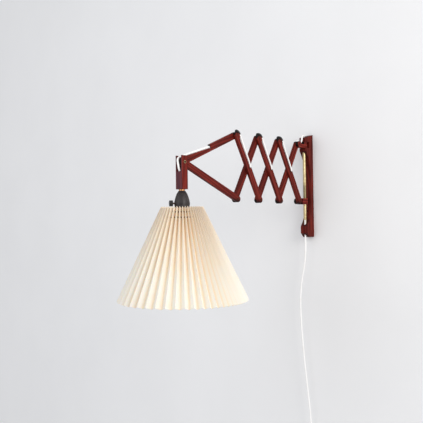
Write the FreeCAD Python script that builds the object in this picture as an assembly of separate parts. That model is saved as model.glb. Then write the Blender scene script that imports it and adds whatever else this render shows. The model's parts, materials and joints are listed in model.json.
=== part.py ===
import FreeCAD, Part
import math
import os
from FreeCAD import Vector

# Scissor wall lamp: a wooden wall bracket with a brass tube, a folding arm of eight wooden bars,
# a wooden stem, a lamp holder with a turn switch and a pleated shade.
# Millimetres. Origin on the bracket's back face at half its height, +Z up, the arm reaches out to -Y.

# Wall bracket
bracket_height = 335.0
bracket_width = 26.0
horn_depth = 38.0
spine_depth = 12.0
scoop_shoulder_depth = 17.6
scoop_top_z = 112.0
scoop_bottom_z = -132.0
scoop_end_length = 47.0
lug_slope_drop = 11.0
horn_chamfer = 13.0
bracket_edge_radius = 1.5
screw_hole_radius = 2.4
screw_head_radius = 4.6
screw_spacing = 150.0
screw_centre_z = -8.0

# Brass tube that the slider runs on
rod_radius = 5.0
rod_wall = 1.2
rod_from_wall = 30.0
rod_top_z = 157.5
rod_bottom_z = -140.0
rod_window_top_z = -111.0
rod_window_bottom_z = -129.0

# Folding arm
bar_half_length = 104.0
bar_width = 19.0
bar_thickness = 8.5
bar_edge_radius = 0.9
outer_bar_length = 228.0
layer_gap = 0.6
rest_angle = 62.0
top_pivot_z = 132.3
pivot_from_rod = 36.0
cross_count = 3

# Cord hollows in the bars
scallop_floor = 4.5
scallop_start = 9.5
scallop_lead = 6.0
scallop_end_past_cross = 2.0
arm_scallop_start = 22.0
arm_scallop_end = 118.0
arm_scallop_floor = -0.5
groove_width = 6.1
groove_depth = 5.5
groove_start_past_cross = 6.0
pocket_length = 17.0
pocket_skin = 1.4

# Pivots
pin_radius = 2.2
pin_bore_radius = 1.2
pin_head_radius = 2.8
pin_head_height = 0.5
rivet_radius = 2.75
rivet_bore_radius = 2.0
rivet_head_radius = 4.0
rivet_head_height = 0.8
running_gap = 0.06
slide_gap = 0.15
side_gap = 0.35

# Blocks on the tube
block_width = 20.0
block_height = 19.0
block_slot_gap = 0.4
block_back_radius = 10.0
tongue_radius = 9.3
cord_notch_floor = 1.0

# Stem
stem_width = 25.0
stem_depth = 21.0
stem_top = 17.2
stem_bottom = 71.5
stem_slot_floor = 25.0
stem_edge = 1.0
nipple_radius = 5.0
nipple_wall = 1.0
nipple_in_stem = 12.0
collar_radius = 8.0
collar_height = 4.6

# Lamp holder
cap_top_radius = 9.5
cap_shoulder_radius = 16.0
cap_shoulder_drop = 14.6
cap_belly_radius = 19.4
cap_belly_drop = 27.0
cap_radius = 20.4
cap_height = 38.0
holder_wall = 2.4
skirt_height = 34.0
skirt_radius = 19.6
seam_gap = 0.2
seat_gap = 0.05
insert_height = 9.0
insert_chamfer = 1.5
shell_radius = 14.6
shell_wall = 0.7
contact_radius = 4.0
contact_height = 0.6
nut_radius = 24.0
nut_height = 7.0
nut_gap = 0.2
nut_drop = 51.0

# Turn switch
knob_turn = 30.0
knob_drop = 32.5
knob_radius = 8.0
knob_length = 9.0
knob_reach = 25.0
knob_flutes = 14
knob_flute_radius = 1.3
shaft_radius = 2.2
shaft_inner_reach = 16.5

# Pleated shade
shade_top_drop = 120.0
shade_height = 243.0
shade_top_radius = 50.0
shade_bottom_radius = 168.5
pleat_count = 51
pleat_depth_top = 12.5
pleat_depth_bottom = 9.5
pleat_unevenness = 0.25
pleat_widest_turn = 3.0
shade_wall = 1.6
carrier_wire = 3.0
carrier_drop = 9.0
carrier_arms = 3
carrier_gap = 0.3
carrier_plate = 2.4
carrier_arm_diameter = 2.4

# Cord
cord_diameter = 5.5
cord_gap = 0.1
cord_bore_gap = 0.15
arc_share = 0.45
arm_end_clearance = 0.9
groove_clearance = 0.5
exit_flare = 2.6
coil_half_depth = 8.6
coil_inner_radius = 24.2
coil_outer_radius = 35.9
tie_wall = 1.2
tie_width = 8.0
plug_width = 35.0
plug_height = 36.0
plug_depth = 14.0
plug_pin_radius = 2.0
plug_pin_length = 19.0
plug_pin_spacing = 19.0

# Worked out from the sizes above
theta = math.radians(rest_angle)
rise = bar_half_length * math.sin(theta)
run = bar_half_length * math.cos(theta)
phi = math.asin(rise / outer_bar_length)
mid_z = top_pivot_z - rise
low_pivot_z = mid_z - rise
rod_y = -rod_from_wall
last_pivot_y = rod_y - pivot_from_rod
head_y = last_pivot_y - 2 * run * cross_count - outer_bar_length * math.cos(phi)
half_width = bar_width / 2
layer_in = layer_gap / 2
layer_out = layer_in + bar_thickness
cord_radius = cord_diameter / 2
groove_floor_x = layer_out - groove_depth
cord_in_groove_x = -(groove_floor_x + cord_radius + cord_gap)
cord_in_near_bar_x = layer_in + bar_thickness / 2
cord_in_far_bar_x = -cord_in_near_bar_x
stem_low_z = mid_z - stem_bottom
holder_top_z = stem_low_z - collar_height
cap_low_z = holder_top_z - cap_height
holder_low_z = cap_low_z - skirt_height
shade_top_z = mid_z - shade_top_drop
shade_low_z = shade_top_z - shade_height
axis_x = Vector(1, 0, 0)
axis_z = Vector(0, 0, 1)


def top_hinge_y(k):
    return last_pivot_y - 2 * run * (cross_count - k)


def export(name, shapes):
    # One file for each node, its solids side by side
    solids = [s for shape in shapes for s in shape.Solids]
    whole = solids[0] if len(solids) == 1 else Part.makeCompound(solids)
    whole.exportStep(os.path.join("parts", name + ".step"))


def block(x0, x1, y0, y1, z0, z1):
    return Part.makeBox(x1 - x0, y1 - y0, z1 - z0, Vector(x0, y0, z0))


def rod_along_x(radius, x0, x1, y, z):
    return Part.makeCylinder(radius, x1 - x0, Vector(x0, y, z), axis_x)


def rod_along_z(radius, z0, z1, x=0.0, y=0.0):
    return Part.makeCylinder(radius, z1 - z0, Vector(x, y, z0), axis_z)


def plate_from_outline(edges, x0, x1):
    # A closed outline in the YZ plane, made as thick as x0 to x1
    face = Part.Face(Part.Wire(edges))
    plate = face.extrude(Vector(x1 - x0, 0, 0))
    plate.translate(Vector(x0, 0, 0))
    return plate


def line(a, b):
    return Part.LineSegment(Vector(0, *a), Vector(0, *b)).toShape()


def arc(a, through, b):
    return Part.Arc(Vector(0, *a), Vector(0, *through), Vector(0, *b)).toShape()


def turned(profile):
    # A closed profile of (radius, z) points, turned about the lamp's upright axis
    points = [Vector(r, 0, z) for r, z in profile]
    points.append(points[0])
    body = Part.Face(Part.makePolygon(points)).revolve(Vector(0, 0, 0), axis_z, 360)
    body.translate(Vector(0, head_y, 0))
    return body


def seat(shape, y, z, angle):
    # From a bar's own frame, Y along it and Z across it, to its place on the lamp
    shape.rotate(Vector(0, 0, 0), axis_x, angle)
    shape.translate(Vector(0, y, z))
    return shape


def tube_path(points):
    # Straight runs joined by tangent arcs as large as their runs allow
    corners = [Vector(*p) for p in points]
    edges = []
    radii = []
    start = corners[0]
    for before, corner, after in zip(corners, corners[1:], corners[2:]):
        back = before - corner
        ahead = after - corner
        turn = math.pi - back.getAngle(ahead)
        shorter = min(back.Length, ahead.Length)
        radius = arc_share * shorter / math.tan(turn / 2)
        back.normalize()
        ahead.normalize()
        enter = corner + back * arc_share * shorter
        leave = corner + ahead * arc_share * shorter
        inward = back + ahead
        inward.normalize()
        middle = corner + inward * radius * (1 / math.cos(turn / 2) - 1)
        edges.append(Part.LineSegment(start, enter).toShape())
        edges.append(Part.Arc(enter, middle, leave).toShape())
        radii.append(radius)
        start = leave
    edges.append(Part.LineSegment(start, corners[-1]).toShape())
    return Part.Wire(edges), radii


def tube_along(points, diameter):
    path = tube_path(points)[0]
    along = Vector(*points[1]) - Vector(*points[0])
    ring = Part.Wire(Part.makeCircle(diameter / 2, Vector(*points[0]), along))
    return path.makePipeShell([ring], True, True)


def cord_along(name, points, diameter):
    tube = tube_along(points, diameter)
    path, radii = tube_path(points)
    expected = math.pi * diameter ** 2 / 4 * path.Length
    print(f"{name}: length {path.Length:.1f}, tightest radius {min(radii):.1f}, "
          f"radii {[round(r) for r in radii]}, volume ratio {tube.Volume / expected:.4f}")
    return tube


def wall_bracket():
    top = bracket_height / 2
    shoulder_top = (-scoop_shoulder_depth, scoop_top_z - scoop_end_length)
    shoulder_low = (-scoop_shoulder_depth, scoop_bottom_z + scoop_end_length)
    scoop_mid = (scoop_top_z + scoop_bottom_z) / 2
    end_mid_y = -(horn_depth + scoop_shoulder_depth) / 2 + 2.5
    end_drop = 0.42 * scoop_end_length
    lug_front_top = (-horn_depth, top - lug_slope_drop)
    scoop_top = (-horn_depth, scoop_top_z)
    scoop_low = (-horn_depth, scoop_bottom_z)
    tip = (-horn_depth, -top + horn_chamfer)
    foot = (-horn_depth + horn_chamfer, -top)
    edges = [
        line((0, top), lug_front_top),
        line(lug_front_top, scoop_top),
        arc(scoop_top, (end_mid_y, scoop_top_z - end_drop), shoulder_top),
        arc(shoulder_top, (-spine_depth, scoop_mid), shoulder_low),
        arc(shoulder_low, (end_mid_y, scoop_bottom_z + end_drop), scoop_low),
        line(scoop_low, tip),
        line(tip, foot),
        line(foot, (0, -top)),
        line((0, -top), (0, top)),
    ]
    body = plate_from_outline(edges, -bracket_width / 2, bracket_width / 2)
    rim = [e for e in body.Edges if abs(e.BoundBox.XLength) < 1e-6 and e.BoundBox.YMin < -1]
    body = body.makeFillet(bracket_edge_radius, rim)
    slot_half = block_height / 2 + block_slot_gap
    slot_back = rod_y + block_back_radius + 4 * block_slot_gap
    body = body.cut(block(-bracket_width, bracket_width, -2 * horn_depth, slot_back,
                          top_pivot_z - slot_half, top_pivot_z + slot_half))
    body = body.cut(rod_along_z(rod_radius, rod_bottom_z, top, 0, rod_y))
    exit_radius = cord_radius + cord_bore_gap
    body = body.cut(rod_along_z(exit_radius, -top, rod_bottom_z, 0, rod_y))
    body = body.cut(Part.makeCone(exit_radius + exit_flare, exit_radius, exit_flare,
                                  Vector(0, rod_y, -top)))
    for side in (-1, 1):
        z = screw_centre_z + side * screw_spacing / 2
        hole = Part.makeCylinder(screw_hole_radius, horn_depth, Vector(0, 0, z), Vector(0, -1, 0))
        body = body.cut(hole)
        front_y = -spine_depth - 2.0
        sink = Part.makeCone(screw_hole_radius, screw_head_radius + 3.0,
                             screw_head_radius + 3.0 - screw_hole_radius,
                             Vector(0, front_y + 4.5, z), Vector(0, -1, 0))
        body = body.cut(sink.common(rod_turned_to_wall(screw_head_radius, z)))
    return body


def rod_turned_to_wall(radius, z):
    return Part.makeCylinder(radius, horn_depth, Vector(0, 0, z), Vector(0, -1, 0))


def rod_tube():
    tube = rod_along_z(rod_radius, rod_bottom_z, rod_top_z, 0, rod_y)
    tube = tube.cut(rod_along_z(rod_radius - rod_wall, rod_bottom_z, rod_top_z, 0, rod_y))
    window = block(-rod_radius, rod_radius, rod_y - rod_radius, rod_y,
                   rod_window_bottom_z, rod_window_top_z)
    return tube.cut(window)


def carriage(pivot_z, tongue_x0, tongue_x1, bore_gap, notched):
    # A block on the tube, with a half-width tongue that carries the end of a bar
    half = block_width / 2
    low = pivot_z - block_height / 2
    high = pivot_z + block_height / 2
    body_front = last_pivot_y + half_width + 3 * side_gap
    body = block(-half, half, body_front, rod_y, low, high)
    body = body.fuse(rod_along_z(block_back_radius, low, high, 0, rod_y))
    tongue = block(tongue_x0, tongue_x1, last_pivot_y, body_front + 1, pivot_z - tongue_radius,
                   pivot_z + tongue_radius)
    tongue = tongue.fuse(rod_along_x(tongue_radius, tongue_x0, tongue_x1, last_pivot_y, pivot_z))
    if notched:
        notch_y0 = last_pivot_y + tongue_radius * 0.7
        notch_y1 = -horn_depth - 4.0
        tongue = tongue.cut(block(tongue_x0, tongue_x1, notch_y0, body_front + 1,
                                  pivot_z + cord_notch_floor, high))
        body = body.cut(block(-half, half, body_front, notch_y1,
                              pivot_z + cord_notch_floor, high))
    whole = body.fuse(tongue).removeSplitter()
    whole = whole.cut(rod_along_z(rod_radius + bore_gap, low, high, 0, rod_y))
    return whole.cut(pin_hole(last_pivot_y, pivot_z, pin_radius))


def pin_hole(y, z, radius):
    return rod_along_x(radius + running_gap, -3 * bar_thickness, 3 * bar_thickness, y, z)


def hollow_pin(x0, x1, y, z, head_low, head_high):
    pin = rod_along_x(pin_radius, x0, x1, y, z)
    if head_low:
        pin = pin.fuse(rod_along_x(pin_head_radius, x0 - pin_head_height, x0, y, z))
    if head_high:
        pin = pin.fuse(rod_along_x(pin_head_radius, x1, x1 + pin_head_height, y, z))
    bore = rod_along_x(pin_bore_radius, x0 - 2, x1 + 2, y, z)
    return pin.cut(bore)


def plain_bar(length, x0, x1):
    outline = [
        line((0, -half_width), (length, -half_width)),
        arc((length, -half_width), (length + half_width, 0), (length, half_width)),
        line((length, half_width), (0, half_width)),
        arc((0, half_width), (-half_width, 0), (0, -half_width)),
    ]
    return plate_from_outline(outline, x0, x1)


def eased(bar):
    # The long outline edges, rounded over by hand
    rim = [e for e in bar.Edges if e.BoundBox.XLength < 1e-6]
    return bar.makeFillet(bar_edge_radius, rim)


def scallop(start, lead, end, floor_start, floor_end, x0, x1):
    above = half_width + 4
    dip = (start + 0.3 * lead, floor_start + 0.36 * (half_width - floor_start))
    edges = [
        line((start, above), (start, half_width)),
        arc((start, half_width), dip, (start + lead, floor_start)),
        line((start + lead, floor_start), (end, floor_end)),
        line((end, floor_end), (end, above)),
        line((end, above), (start, above)),
    ]
    return plate_from_outline(edges, x0 - 1, x1 + 1)


def falling_bar(k):
    # In front: from a top hinge down towards the wall, its upper half hollowed for the cord
    length = 2 * bar_half_length
    bar = plain_bar(length, layer_in, layer_out)
    end = bar_half_length + scallop_end_past_cross
    bar = bar.cut(scallop(scallop_start, scallop_lead, end, scallop_floor, scallop_floor,
                          layer_in, layer_out))
    bar = eased(bar)
    for s in (0, bar_half_length, length):
        bar = bar.cut(pin_hole(s, 0, pin_radius))
    return seat(bar, top_hinge_y(k - 1), top_pivot_z, -rest_angle)


def rising_bar(k):
    # Behind: from a bottom hinge up towards the wall, its upper half grooved for the cord
    length = 2 * bar_half_length
    bar = eased(plain_bar(length, -layer_out, -layer_in))
    groove = block(-layer_out - 1, -groove_floor_x, bar_half_length + groove_start_past_cross,
                   length + bar_width, -groove_width / 2, groove_width / 2)
    bar = bar.cut(groove)
    for s in (0, bar_half_length, length):
        bar = bar.cut(pin_hole(s, 0, pin_radius))
    return seat(bar, top_hinge_y(k - 1), low_pivot_z, rest_angle)


def upper_arm():
    bar = plain_bar(outer_bar_length, -layer_out, -layer_in)
    bar = bar.cut(scallop(arm_scallop_start, scallop_lead, arm_scallop_end,
                          half_width - 0.6, arm_scallop_floor, -layer_out, -layer_in))
    bar = eased(bar)
    pocket = block(-layer_out - 1, -layer_in - pocket_skin, arm_scallop_end - 1,
                   arm_scallop_end + pocket_length, -groove_width / 2, groove_width / 2 + 2.4)
    groove = block(-layer_out - 1, -groove_floor_x, arm_scallop_end,
                   outer_bar_length + bar_width, -groove_width / 2, groove_width / 2)
    bar = bar.cut(pocket).cut(groove)
    bar = bar.cut(pin_hole(0, 0, rivet_radius)).cut(pin_hole(outer_bar_length, 0, pin_radius))
    return seat(bar, head_y, mid_z, math.degrees(phi))


def lower_arm():
    # Its end in the stem is the pivot left open, so it has a hinge hole at the other end only
    bar = eased(plain_bar(outer_bar_length, layer_in, layer_out))
    bar = bar.cut(pin_hole(outer_bar_length, 0, pin_radius))
    return seat(bar, head_y, mid_z, -math.degrees(phi))


def falling_cord(k):
    start = scallop_start + scallop_lead + cord_gap
    end = bar_half_length + scallop_end_past_cross - cord_gap
    across = scallop_floor + cord_radius + cord_gap
    tube = Part.makeCylinder(cord_radius, end - start,
                             Vector(cord_in_near_bar_x, start, across), Vector(0, 1, 0))
    return seat(tube, top_hinge_y(k - 1), top_pivot_z, -rest_angle)


def rising_cord(k):
    start = bar_half_length + groove_start_past_cross + cord_gap
    end = 2 * bar_half_length + half_width - 1
    tube = Part.makeCylinder(cord_radius, end - start,
                             Vector(cord_in_groove_x, start, 0), Vector(0, 1, 0))
    return seat(tube, top_hinge_y(k - 1), low_pivot_z, rest_angle)


def upper_arm_cord():
    lift = cord_radius + cord_gap + 0.25
    points = [
        (cord_in_far_bar_x, 1, half_width + lift),
        (cord_in_far_bar_x, 14, half_width + lift + 0.3),
        (cord_in_far_bar_x, 32, half_width - 1.1 + lift),
        (cord_in_far_bar_x, 62, half_width - 4.2 + lift),
        (cord_in_far_bar_x, arm_scallop_end - 8, arm_scallop_floor + 0.9 + lift),
        (cord_in_groove_x, arm_scallop_end + 12, 0.3),
        (cord_in_groove_x - 0.05, arm_scallop_end + 45, 0),
    ]
    first = cord_along("upper_arm_cord", points, cord_diameter)
    start = points[-1][1]
    second = Part.makeCylinder(cord_radius, outer_bar_length + half_width - 1 - start,
                               Vector(points[-1][0], start, 0), Vector(0, 1, 0))
    tube = first.fuse(second).removeSplitter()
    return seat(tube, head_y, mid_z, math.degrees(phi))


def stem():
    half = stem_width / 2
    low = stem_low_z
    body = block(-half, half, -stem_depth / 2, stem_depth / 2, low, mid_z + stem_top)
    upright = [e for e in body.Edges if e.BoundBox.ZLength > 1]
    body = body.makeFillet(stem_edge, upright)
    slot_half = layer_out + side_gap
    body = body.cut(block(-slot_half, slot_half, -stem_depth, stem_depth,
                          mid_z - stem_slot_floor, mid_z + 2 * stem_top))
    relief = tube_along(stem_route(), cord_diameter + 2 * groove_clearance)
    relief.translate(Vector(0, 0, mid_z))
    body = body.cut(relief)
    body = body.cut(rod_along_z(nipple_radius, low, low + nipple_in_stem))
    body.translate(Vector(0, head_y, 0))
    return body.cut(rod_along_x(rivet_radius + running_gap, -stem_width, stem_width, head_y, mid_z))


def stem_rivet():
    # The far half carries the upper arm; the near half stays in its cheek, clear of the lower arm
    half = stem_width / 2
    pieces = []
    for x0, x1, head_x in ((-half, -layer_in / 2, -half - rivet_head_height),
                           (layer_out + side_gap, half, half)):
        tube = rod_along_x(rivet_radius, x0, x1, head_y, mid_z)
        head = rod_along_x(rivet_head_radius, head_x, head_x + rivet_head_height, head_y, mid_z)
        bore = rod_along_x(rivet_bore_radius, x0 - 2, x1 + 2, head_y, mid_z)
        pieces.append(tube.fuse(head).cut(bore))
    return pieces


def stem_route():
    # Up the stem's bore, out over the floor of the fork and up past the arms' ends
    clear = half_width + cord_radius + arm_end_clearance
    return [
        (0, 0, -stem_bottom - 16),
        (0, 0, -stem_slot_floor - 7.5),
        (0, 0.3 - clear, -stem_slot_floor + 8.5),
        (-1.4, -clear - 0.6, -3.2),
    ]


def stem_cord():
    tube = cord_along("stem_cord", stem_route(), cord_diameter)
    tube.translate(Vector(0, head_y, mid_z))
    return tube


def nipple():
    outer = rod_along_z(nipple_radius, holder_top_z - 9, stem_low_z + nipple_in_stem)
    inner = rod_along_z(nipple_radius - nipple_wall, holder_top_z - 12, stem_low_z + 20)
    tube = outer.cut(inner)
    tube.translate(Vector(0, head_y, 0))
    return tube


def stem_collar():
    return turned([(nipple_radius, stem_low_z), (collar_radius - 0.6, stem_low_z),
                   (collar_radius, stem_low_z - 1), (collar_radius, holder_top_z + 1),
                   (collar_radius - 0.6, holder_top_z), (nipple_radius, holder_top_z)])


def bell_edges(inset):
    # The bell of the holder, outside for inset 0 and inside for the wall's thickness
    top = holder_top_z - inset
    a = (cap_top_radius - inset * 0.6, top)
    b = (cap_shoulder_radius - inset, holder_top_z - cap_shoulder_drop)
    c = (cap_belly_radius - inset, holder_top_z - cap_belly_drop)
    d = (cap_radius - inset, cap_low_z)
    return a, b, c, d


def curve_xz(a, b, c, d):
    points = [Vector(r, 0, z) for r, z in (a, b, c, d)]
    spline = Part.BSplineCurve()
    spline.interpolate(points)
    return spline.toShape()


def edge_xz(a, b):
    return Part.LineSegment(Vector(a[0], 0, a[1]), Vector(b[0], 0, b[1])).toShape()


def holder_cap():
    oa, ob, oc, od = bell_edges(0)
    ia, ib, ic, id_ = bell_edges(holder_wall)
    outer_centre = (nipple_radius, oa[1])
    inner_centre = (nipple_radius, ia[1])
    edges = [edge_xz(outer_centre, oa), curve_xz(oa, ob, oc, od), edge_xz(od, id_),
             curve_xz(id_, ic, ib, ia), edge_xz(ia, inner_centre),
             edge_xz(inner_centre, outer_centre)]
    cap = Part.Face(Part.Wire(edges)).revolve(Vector(0, 0, 0), axis_z, 360)
    cap.translate(Vector(0, head_y, 0))
    return cap.cut(switch_line(shaft_radius + running_gap, 0, 2 * cap_radius))


def switch_line(radius, start, end):
    # A round piece on the switch's axis, from start to end out from the lamp's axis
    turn = math.radians(knob_turn)
    out = Vector(-math.sin(turn), -math.cos(turn), 0)
    centre = Vector(0, head_y, holder_top_z - knob_drop)
    return Part.makeCylinder(radius, end - start, centre + out * start, out)


def switch_knob():
    knob = switch_line(knob_radius, knob_reach, knob_reach + knob_length)
    ends = [e for e in knob.Edges if e.Length > 5 * knob_radius]
    knob = knob.makeFillet(1.2, ends)
    turn = math.radians(knob_turn)
    out = Vector(-math.sin(turn), -math.cos(turn), 0)
    centre = Vector(0, head_y, holder_top_z - knob_drop)
    flute = switch_line(knob_flute_radius, knob_reach - 1, knob_reach + knob_length + 1)
    flute.translate(axis_z * (knob_radius + 0.35 * knob_flute_radius))
    for i in range(knob_flutes):
        cutter = flute.copy()
        cutter.rotate(centre, out, 360 * i / knob_flutes)
        knob = knob.cut(cutter)
    return knob


def switch_shaft():
    return switch_line(shaft_radius, shaft_inner_reach, knob_reach)


def holder_skirt():
    outer = skirt_radius
    inner = outer - holder_wall
    top = cap_low_z - seam_gap
    return turned([(outer, top), (outer, holder_low_z + 1), (outer - 1, holder_low_z),
                   (inner, holder_low_z), (inner, top)])


def socket_insert():
    # A ceramic disc seated in the skirt
    top = cap_low_z - seam_gap
    low = top - insert_height
    edge = skirt_radius - holder_wall - seat_gap
    return turned([(0, top), (edge, top), (edge, low + insert_chamfer),
                   (edge - insert_chamfer, low), (0, low)])


def socket_shell():
    top = cap_low_z - seam_gap - insert_height
    low = holder_low_z + 2
    inner = shell_radius - shell_wall
    return turned([(contact_radius + 3, top), (shell_radius, top), (shell_radius, low),
                   (inner, low), (inner, top - shell_wall), (contact_radius + 3, top - shell_wall)])


def centre_contact():
    top = cap_low_z - seam_gap - insert_height
    return turned([(0, top), (contact_radius, top), (contact_radius, top - contact_height),
                   (0, top - contact_height)])


def shade_nut():
    top = holder_top_z - nut_drop
    inner = skirt_radius + nut_gap
    return turned([(inner, top), (nut_radius - 1, top), (nut_radius, top - 1),
                   (nut_radius, top - nut_height + 1), (nut_radius - 1, top - nut_height),
                   (inner, top - nut_height)])


def shade_radius(z):
    share = (shade_top_z - z) / shade_height
    return shade_top_radius + share * (shade_bottom_radius - shade_top_radius)


def pleat_fold(i, at_top, inset):
    # One end of fold i. Even folds are ridges, odd ones valleys, square to the cone's slope
    slope = math.atan2(shade_bottom_radius - shade_top_radius, shade_height)
    depth = pleat_depth_top if at_top else pleat_depth_bottom
    offset = depth / 2 if i % 2 == 0 else -depth / 2
    middle = shade_top_radius if at_top else shade_bottom_radius
    radius = middle + offset * math.cos(slope) - inset
    height = (shade_top_z if at_top else shade_low_z) + offset * math.sin(slope)
    even_turn = math.pi * i / pleat_count
    swing = 2 * (even_turn - math.radians(pleat_widest_turn))
    turn = even_turn + pleat_unevenness / 2 * math.sin(swing)
    return Vector(radius * math.sin(turn), head_y - radius * math.cos(turn), height)


def facet(a, b, c, d):
    # A folded quad as its two flat halves
    return [Part.Face(Part.makePolygon([a, b, c, a])), Part.Face(Part.makePolygon([a, c, d, a]))]


def pleated_shade():
    # Flat-folded material: an outer and an inner skin of facets, closed along both zigzag rims
    faces = []
    for i in range(2 * pleat_count):
        out_top, out_next = pleat_fold(i, True, 0), pleat_fold(i + 1, True, 0)
        out_low, out_low_next = pleat_fold(i, False, 0), pleat_fold(i + 1, False, 0)
        in_top, in_next = pleat_fold(i, True, shade_wall), pleat_fold(i + 1, True, shade_wall)
        in_low = pleat_fold(i, False, shade_wall)
        in_low_next = pleat_fold(i + 1, False, shade_wall)
        faces.extend(facet(out_top, out_low, out_low_next, out_next))
        faces.extend(facet(in_top, in_low, in_low_next, in_next))
        faces.extend(facet(out_top, in_top, in_next, out_next))
        faces.extend(facet(out_low, in_low, in_low_next, out_low_next))
    shell = Part.makeShell(faces)
    shell.sewShape()
    return Part.makeSolid(shell)


def shade_carrier():
    # A plate clamped by the nut, and wire arms out to the ring that the pleats hang on
    plate_top = holder_top_z - nut_drop + carrier_plate
    plate = turned([(skirt_radius + nut_gap, plate_top), (nut_radius, plate_top),
                    (nut_radius, plate_top - carrier_plate),
                    (skirt_radius + nut_gap, plate_top - carrier_plate)])
    ring_z = shade_top_z - carrier_drop
    share = carrier_drop / shade_height
    depth = pleat_depth_top + share * (pleat_depth_bottom - pleat_depth_top)
    valley = shade_radius(ring_z) - 0.62 * depth - shade_wall
    ring_radius = valley - carrier_gap - carrier_wire / 2
    whole = plate
    ring = Part.makeTorus(ring_radius, carrier_wire / 2, Vector(0, head_y, ring_z), axis_z)
    whole = whole.fuse(ring)
    plate_mid = plate_top - carrier_plate / 2
    for i in range(carrier_arms):
        turn = 2 * math.pi * i / carrier_arms + math.pi / 6
        inner = nut_radius - 0.8
        a = Vector(inner * math.sin(turn), head_y - inner * math.cos(turn), plate_mid)
        b = Vector(ring_radius * math.sin(turn), head_y - ring_radius * math.cos(turn), ring_z)
        arm = Part.makeCylinder(carrier_arm_diameter / 2, (b - a).Length, a, b - a)
        whole = whole.fuse(arm)
    return whole.cut(rod_along_z(skirt_radius + nut_gap, holder_low_z, holder_top_z, 0, head_y))


# The cord's route from the bar end over the bracket's top, down the tube and out of the lower horn
bracket_route = [
    (0.0, -30.0, 148.0),
    (0.0, -30.0, 166.0),
    (4.0, -41.0, 166.0),
    (4.0, -41.0, 147.5),
]
bracket_exit_z = -160.5

# The free length: down the wall to the coil
hanging_route = [
    (0.0, -30.0, -160.6),
    (1.0, -30.2, -205.0),
    (-5.0, -30.0, -256.0),
    (-18.0, -29.2, -307.0),
    (-25.5, -28.3, -358.0),
    (-26.0, -27.4, -412.0),
    (-23.6, -26.6, -468.0),
    (-19.6, -25.8, -523.0),
    (-14.6, -25.0, -578.0),
    (-8.6, -24.3, -633.0),
    (-2.2, -23.6, -688.0),
    (3.6, -23.0, -741.0),
    (6.0, -22.4, -785.0),
    (11.0, -21.8, -825.0),
    (28.2, -21.4, -849.8),
]
coil_centre = Vector(-4.0, -21.4, -872.0)
plug_route = [
    (21.3, -21.4, -902.1),
    (6.0, -21.4, -914.8),
    (-1.0, -21.4, -936.0),
]
plug_top_z = -937.3


def bracket_cord():
    over = cord_along("bracket_cord", bracket_route, cord_diameter)
    start = bracket_route[0][2]
    down = rod_along_z(cord_radius, bracket_exit_z, start, 0, rod_y)
    return over.fuse(down).removeSplitter()


def hanging_cord():
    upper = cord_along("hanging_cord", hanging_route, cord_diameter)
    lower = cord_along("plug_lead", plug_route, cord_diameter)
    return [upper, lower]


def cord_coil():
    ring = Part.makeCylinder(coil_outer_radius, 2 * coil_half_depth,
                             coil_centre - Vector(0, coil_half_depth, 0), Vector(0, 1, 0))
    hole = Part.makeCylinder(coil_inner_radius, 4 * coil_half_depth,
                             coil_centre - Vector(0, 2 * coil_half_depth, 0), Vector(0, 1, 0))
    ring = ring.cut(hole)
    return ring.makeFillet(cord_radius, ring.Edges)


def coil_tie():
    inner_low = coil_centre.z + coil_inner_radius
    band = []
    for grow in (tie_wall, 0.2):
        band.append(block(coil_centre.x - tie_width / 2, coil_centre.x + tie_width / 2,
                          coil_centre.y - coil_half_depth - grow,
                          coil_centre.y + coil_half_depth + grow,
                          inner_low - grow - 0.6, coil_centre.z + coil_outer_radius + grow))
    outer = band[0].makeFillet(3.0, [e for e in band[0].Edges if e.BoundBox.XLength > 1])
    inner = band[1].makeFillet(2.2, [e for e in band[1].Edges if e.BoundBox.XLength > 1])
    return outer.cut(inner)


def plug_body():
    x = plug_route[-1][0]
    y = plug_route[-1][1]
    half = plug_width / 2
    top = plug_top_z
    waist = plug_height * 0.55
    points = [Vector(x - 5, y, top), Vector(x + 5, y, top), Vector(x + half * 0.8, y, top - waist),
              Vector(x + half, y, top - plug_height), Vector(x - half, y, top - plug_height),
              Vector(x - half * 0.8, y, top - waist), Vector(x - 5, y, top)]
    face = Part.Face(Part.makePolygon(points))
    body = face.extrude(Vector(0, plug_depth, 0))
    body.translate(Vector(0, -plug_depth / 2, 0))
    return body.makeFillet(2.5, body.Edges)


def plug_pins():
    x = plug_route[-1][0]
    y = plug_route[-1][1]
    top = plug_top_z - plug_height
    return [rod_along_z(plug_pin_radius, top - plug_pin_length, top,
                        x + side * plug_pin_spacing / 2, y) for side in (-1, 1)]


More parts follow.
